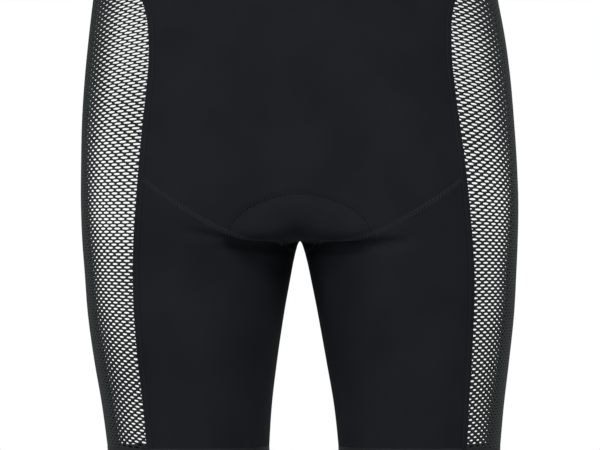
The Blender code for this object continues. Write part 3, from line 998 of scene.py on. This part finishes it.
def half_band(name, side, low, high):
    """A ribbed band round half of the form, or round one leg, between two heights."""
    sheet, across, up = flat_grid(name, BAND_COLUMNS, BAND_ROWS)
    s = 2 * (across if side > 0 else 1 - across)
    z = low + (high - low) * up
    in_from_edge = np.minimum(up, 1 - up) * (high - low)
    raised = RIB_RAISED * ramp(in_from_edge / RIB_PITCH) * (1 + np.cos(2 * math.pi * z / RIB_PITCH))
    move_points(sheet, on_form(side, s, z, raised))
    return sheet


def round_rows(side, heights):
    """Rows of stitches round half of the form at some heights."""
    s = np.linspace(ROW_START, 2 - ROW_START, ROW_STOPS)
    return [stitch_row(side, s, z + 0.0 * s, STITCH_SPACING, STITCH_LENGTH, ROW_RAISED) for z in heights]


halves = [half_band("band", side, BAND_SEAM_Z, WAIST_Z) for side in (1, -1)]
waistband = joined("waistband_ring", halves, SAME_POINT)
thicken(waistband, BAND_WALL)
dress(waistband, elastic, "elastic", "waistband")
heights = [BAND_SEAM_Z + up for up in ROWS_FROM_EDGE]
rows = [row for side in (1, -1) for row in round_rows(side, heights)]
sewing("waistband_stitches", rows, "elastic", thread)

# The hem bands: the same elastic, one round each leg, laid over the cloth's lower edge
# and stitched down.  The photo shows only their upper edge
for name, side in SIDES.items():
    hem = joined(f"hem_ring_{name}", [half_band("band", side, HEM_Z, HEM_SEAM_Z)], SAME_POINT)
    thicken(hem, BAND_WALL)
    dress(hem, elastic, "elastic", f"hem_{name}")
    rows = round_rows(side, [HEM_SEAM_Z - down for down in ROWS_FROM_EDGE])
    sewing(f"hem_stitches_{name}", rows, "elastic", thread)

# The stage: a plain pale floor under the shorts, soft light from all round with two
# large soft lamps in front and one behind, and the camera level with the picture's middle
FLOOR_Z = -0.60
FLOOR_SIDE = 4.0
FLOOR_TONE = (0.55, 0.55, 0.55, 1.0)
FLOOR_ROUGHNESS = 0.9
WHITE = (1.0, 1.0, 1.0, 1.0)
BACKDROP = 1.0
ROOM_LIGHT = 0.50
LAMP_SIDE = 1.6
LAMPS_AIM = (0.0, 0.0, -0.22)
SENSOR = 36.0
PICTURE_WIDTH = 0.4872

bpy.ops.object.select_all(action="DESELECT")
bpy.ops.mesh.primitive_plane_add(size=FLOOR_SIDE, location=(0.0, 0.0, FLOOR_Z))
floor = bpy.context.object
floor.name = "floor"
pale = bpy.data.materials.new("pale_floor")
pale.use_nodes = True
pale.node_tree.nodes["Principled BSDF"].inputs["Base Color"].default_value = FLOOR_TONE
pale.node_tree.nodes["Principled BSDF"].inputs["Roughness"].default_value = FLOOR_ROUGHNESS
floor.data.materials.append(pale)

world = bpy.data.worlds.new("studio")
bpy.context.scene.world = world
world.use_nodes = True
backdrop = world.node_tree.nodes["Background"]
backdrop.inputs["Color"].default_value = WHITE
backdrop.inputs["Strength"].default_value = BACKDROP
room = world.node_tree.nodes.new("ShaderNodeBackground")
room.inputs["Color"].default_value = WHITE
room.inputs["Strength"].default_value = ROOM_LIGHT
both = world.node_tree.nodes.new("ShaderNodeMixShader")
path = world.node_tree.nodes.new("ShaderNodeLightPath")
world.node_tree.links.new(path.outputs["Is Camera Ray"], both.inputs["Fac"])
world.node_tree.links.new(room.outputs[0], both.inputs[1])
world.node_tree.links.new(backdrop.outputs[0], both.inputs[2])
world.node_tree.links.new(both.outputs[0], world.node_tree.nodes["World Output"].inputs["Surface"])


def lamp(name, place, power):
    """A soft square lamp that faces the middle of the shorts."""
    light = bpy.data.lights.new(name, "AREA")
    light.size = LAMP_SIDE
    light.energy = power
    holder = bpy.data.objects.new(name, light)
    bpy.context.scene.collection.objects.link(holder)
    holder.location = place
    towards = np.array(LAMPS_AIM) - np.array(place)
    yaw = math.atan2(towards[1], towards[0]) - math.pi / 2
    pitch = math.atan2(towards[2], math.hypot(towards[0], towards[1])) + math.pi / 2
    holder.rotation_euler = (pitch, 0.0, yaw)


lamp("lamp_left", place=(-3.2, -2.6, 0.8), power=115.0)
lamp("lamp_right", place=(2.0, -2.8, 1.8), power=110.0)
lamp("lamp_back", place=(0.8, 3.2, 1.8), power=70.0)

lens = bpy.data.cameras.new("camera")
lens.sensor_width = SENSOR
lens.lens = SENSOR * CAMERA_AWAY / PICTURE_WIDTH
camera = bpy.data.objects.new("camera", lens)
bpy.context.scene.collection.objects.link(camera)
camera.location = (0.0, -CAMERA_AWAY, CAMERA_Z)
camera.rotation_euler = (math.pi / 2, 0.0, 0.0)
bpy.context.scene.camera = camera
bpy.context.scene.view_settings.view_transform = "Standard"
